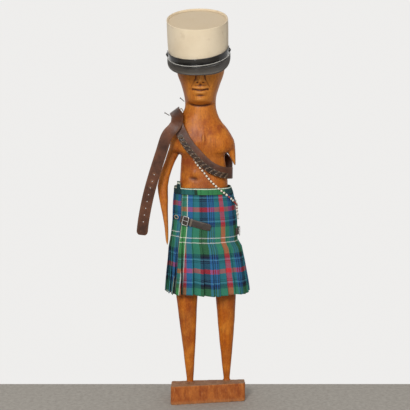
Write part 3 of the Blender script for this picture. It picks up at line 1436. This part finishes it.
# Its stripes, from the middle of a red band to the middle of the next green one: where each ends, as a
# share of the sett, and its colour
WEFT = (
    (0.036, RED),
    (0.132, SEA_BLUE),
    (0.142, NAVY),
    (0.156, SEA_BLUE),
    (0.168, NAVY),
    (0.182, SEA_BLUE),
    (0.192, LIGHT_BLUE),
    (0.210, SEA_BLUE),
    (0.245, NAVY),
    (0.280, DARK_GREEN),
    (0.453, GREEN),
    (0.468, WHITE),
    (0.500, GREEN),
)
WARP = (
    (0.030, RED),
    (0.106, TEAL),
    (0.118, BLUE),
    (0.127, NAVY),
    (0.142, BLUE),
    (0.151, NAVY),
    (0.166, BLUE),
    (0.175, NAVY),
    (0.197, BLUE),
    (0.287, NAVY),
    (0.372, TEAL),
    (0.446, BLUE),
    (0.460, WHITE),
    (0.500, GREEN),
)
BAND_END = 0.062


def stripes(m, place, bands):
    """The sett's colour at a place counted in repeats. It runs out from the red and back again."""
    folded = m.sum_of("PINGPONG", place, 0.5)
    ramp = m.node("ShaderNodeValToRGB", Fac=m.sum_of("MULTIPLY", folded, 2.0))
    ramp.color_ramp.interpolation = "CONSTANT"
    elements = ramp.color_ramp.elements
    while len(elements) > 1:
        elements.remove(elements[-1])
    start = 0.0
    for index, (end, colour) in enumerate(bands):
        element = elements[0] if index == 0 else elements.new(start * 2)
        element.position = start * 2
        element.color = (*colour, 1)
        start = end
    return ramp.outputs["Color"]


WARP_REPEATS = 2.535
WARP_RED = 0.5917
WEFT_RED = 0.196
WEFT_REPEAT = SETT / (KILT_LENGTH * UNIT)
# Shares of the flat cloth: the opened pleat's edge and how far it drifts, and how much higher the side sits
OPEN_EDGE = 0.4158
OPEN_DRIFT = 0.0300
SIDE_RAISE = 0.05
TWILL_STEPS = (560.0, 240.0)


def tartan_material():
    """Wool twill: warp and weft stripes that cross, with the twill's fine diagonal between them."""
    m = Shader("tartan wool", roughness=0.9, Specular_IOR_Level=0.25)
    flat = m.node("ShaderNodeTexCoord").outputs["UV"]
    parts = m.node("ShaderNodeSeparateXYZ", Vector=flat)
    # At the lower left a pleat opens: its edge drifts aside and bares the red band that lies under it
    drift = m.spread(parts.outputs[1], 0.45, 1.0, 0.0, OPEN_DRIFT)
    drift = m.sum_of("MULTIPLY", drift, m.spread(parts.outputs[0], 0.20, 0.34))
    beyond = m.sum_of("ADD", m.sum_of("SUBTRACT", parts.outputs[0], OPEN_EDGE), drift)
    bare = m.spread(beyond, 0.0, 0.0004)
    moved = m.sum_of("ADD", parts.outputs[0], m.sum_of("MULTIPLY", drift, m.sum_of("SUBTRACT", 1.0, bare)))
    across = m.sum_of("MULTIPLY", m.sum_of("SUBTRACT", moved, WARP_RED), WARP_REPEATS)
    # The side laps under the front panel and sits higher, so its lines don't meet those of the front
    lap = m.sum_of("SUBTRACT", parts.outputs[0], m.spread(parts.outputs[1], 0.35, 1.0, 0.374, 0.353))
    rise = m.spread(parts.outputs[0], 0.15, 0.30, 0.0, SIDE_RAISE)
    rise = m.sum_of("MULTIPLY", m.spread(lap, 0.0, -0.0004), rise)
    raised = m.sum_of("ADD", parts.outputs[1], rise)
    down = m.sum_of("DIVIDE", m.sum_of("SUBTRACT", raised, WEFT_RED), WEFT_REPEAT)
    warp = stripes(m, across, WARP)
    bare = m.sum_of("MULTIPLY", bare, m.spread(parts.outputs[0], OPEN_EDGE, OPEN_EDGE - 0.0004))
    warp = m.blend(bare, warp, RED)
    weft = stripes(m, down, WEFT)
    diagonal = [m.sum_of("MULTIPLY", parts.outputs[i], step) for i, step in enumerate(TWILL_STEPS)]
    diagonal = m.sum_of("ADD", *diagonal)
    twill = m.sum_of("PINGPONG", diagonal, 0.5)
    share = m.spread(twill, 0.18, 0.32, 0.24, 0.68)
    colour = m.blend(share, warp, weft)
    band = m.spread(parts.outputs[1], BAND_END, BAND_END + 0.0015, 1.0, 0.0)
    waist = m.blend(m.spread(parts.outputs[0], 0.455, 0.457), (0.018, 0.130, 0.120), (0.040, 0.235, 0.080))
    join = m.sum_of("ABSOLUTE", m.sum_of("SUBTRACT", parts.outputs[0], 0.462))
    waist = m.blend(m.spread(join, 0.0095, 0.0080), waist, (0.012, 0.045, 0.026))
    waist = m.blend(m.spread(parts.outputs[0], 0.625, 0.635), waist, (0.014, 0.070, 0.075))
    waist = m.blend(m.spread(parts.outputs[0], 0.375, 0.365), waist, (0.008, 0.045, 0.050))
    waist = m.blend(m.spread(parts.outputs[1], 0.011, 0.014, 0.8, 0.0), waist, WHITE)
    waist = m.blend(m.spread(parts.outputs[1], 0.006, 0.004), waist, (0.02, 0.10, 0.06))
    line = m.spread(m.sum_of("ABSOLUTE", lap), 0.0060, 0.0015, 0.0, 0.85)
    colour = m.blend(line, colour, (0.005, 0.008, 0.012))
    colour = m.blend(band, colour, waist)
    seam = m.sum_of("ABSOLUTE", m.sum_of("SUBTRACT", parts.outputs[1], BAND_END))
    colour = m.blend(m.spread(seam, 0.0035, 0.001, 0.0, 0.75), colour, (0.006, 0.012, 0.016))
    fold = m.node("ShaderNodeAttribute", {"attribute_name": "fold"}).outputs["Fac"]
    colour = m.blend(m.spread(fold, 0.10, 0.55, 0.0, 0.93), colour, (0.004, 0.006, 0.008))
    wool = m.noise(m.place(), 1500.0, 3.0, 0.7)
    fade = m.noise(m.place(), 22.0, 4.0)
    colour = m.blend(m.spread(wool, 0.45, 0.75, 0.0, 0.12), colour, (0.26, 0.32, 0.30))
    colour = m.blend(m.spread(fade, 0.45, 0.75, 0.0, 0.14), colour, (0.012, 0.02, 0.03))
    m.bumps((twill, 0.00035), (wool, 0.0002))
    return m.done(colour)


# Assembly

# The leathers: name, darker and lighter colour, roughness, colour where worn, and coat where there is one
LEATHERS = (
    ("visor leather", (0.020, 0.017, 0.014), (0.044, 0.037, 0.030), 0.46, (0.13, 0.11, 0.085)),
    ("visor binding", (0.020, 0.018, 0.016), (0.040, 0.035, 0.030), 0.38, (0.12, 0.1, 0.08)),
    ("gloss strap", (0.005, 0.0045, 0.004), (0.011, 0.010, 0.009), 0.14, (0.04, 0.03, 0.025), 1.0),
    ("belt leather", (0.050, 0.017, 0.008), (0.150, 0.046, 0.016), 0.42, (0.28, 0.13, 0.06)),
    ("lacing leather", (0.022, 0.011, 0.007), (0.060, 0.028, 0.015), 0.32, (0.22, 0.13, 0.07)),
    ("strap leather", (0.028, 0.019, 0.014), (0.062, 0.045, 0.036), 0.45, (0.16, 0.11, 0.08)),
    ("keeper leather", (0.10, 0.075, 0.055), (0.19, 0.15, 0.11), 0.5, (0.3, 0.25, 0.2)),
)


def main():
    make_camera()
    make_stage()
    make_lights()
    wood = wood_material()
    cloth, piping = kepi_materials()
    leathers = [leather_material(*row) for row in LEATHERS]
    visor, binding, gloss, leather, lacing, strap, keeper = leathers
    light_thread = thread_material("light thread", (0.42, 0.30, 0.19), (0.66, 0.52, 0.38))
    silver_thread = thread_material("strap cord thread", (0.42, 0.40, 0.36), (0.78, 0.76, 0.70), 0.45)
    shell = thread_material("bead shell", (0.72, 0.65, 0.52), (0.86, 0.82, 0.73), 0.25)
    red_bead = thread_material("red bead", (0.36, 0.03, 0.03), (0.50, 0.07, 0.05), 0.25)
    amber = thread_material("amber bead", (0.11, 0.035, 0.012), (0.24, 0.09, 0.035), 0.3)
    figure = make_figure(wood)
    make_kepi_crown(cloth, piping)
    make_visor(visor, binding, gloss)
    make_chin_strap(gloss, silver_thread)
    kilt = make_kilt(tartan_material())
    beads = make_beads(figure, kilt, shell, red_bead, amber, light_thread)
    make_belt(figure, beads, leather, lacing, light_thread)
    plated = steel_material("plated wire", (0.55, 0.54, 0.53), (0.85, 0.85, 0.84))
    make_hip_straps(kilt, strap, keeper, plated, light_thread)
    make_nails(steel_material("nail steel", (0.13, 0.11, 0.10), (0.24, 0.22, 0.20)))


main()
